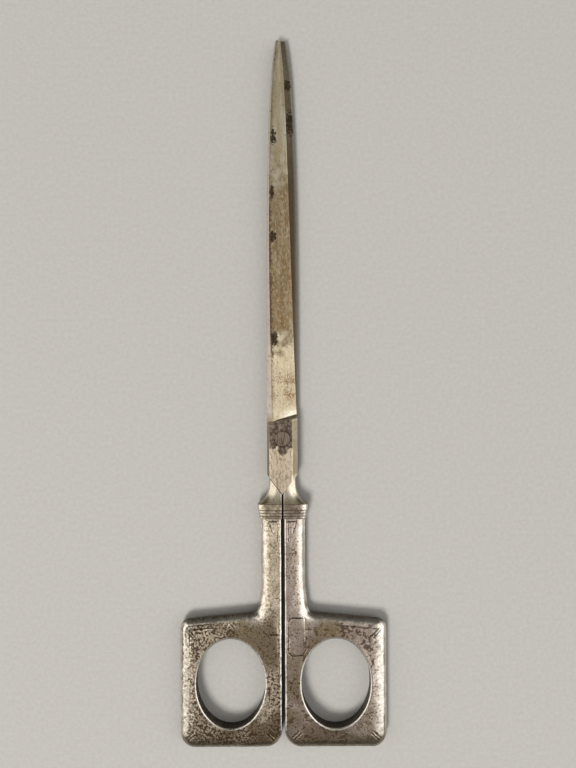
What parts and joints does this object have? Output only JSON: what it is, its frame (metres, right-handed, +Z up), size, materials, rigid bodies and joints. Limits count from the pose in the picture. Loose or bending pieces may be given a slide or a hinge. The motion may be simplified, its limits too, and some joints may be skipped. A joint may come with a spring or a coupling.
{
  "type": "scissors",
  "caption": "Right-handed desk scissors with long narrow steel blades on a flush rivet and hollow silver handles with square bows and oval finger holes.",
  "frame": {"origin": "centre of the closed scissors' bounding box, on the plane of the bows' back faces", "axes": "+Y from the bows to the tips of the blades, +Z up through the thickness to the front face"},
  "size_m": [0.0672, 0.2306, 0.0056],
  "materials": {
    "blade_steel": "satin",
    "rivet_steel": "satin",
    "silver": "satin",
    "cement": "matte"
  },
  "bodies": {
    "back_half": {"back_blade": "blade_steel", "left_ferrule": "silver", "left_front_shell": "silver", "left_back_shell": "silver", "left_finger_band": "silver", "left_filler": "cement"},
    "front_half": {"front_blade": "blade_steel", "pivot_rivet": "rivet_steel", "right_ferrule": "silver", "right_front_shell": "silver", "right_back_shell": "silver", "right_finger_band": "silver", "right_filler": "cement"}
  },
  "joints": [
    {"name": "blade_pivot", "type": "hinge", "parent": "back_half", "child": "front_half", "pos_m": [0, -0.01472, 0.0028], "axis": [0, 0, 1], "range_deg": [0, 130]}
  ]
}
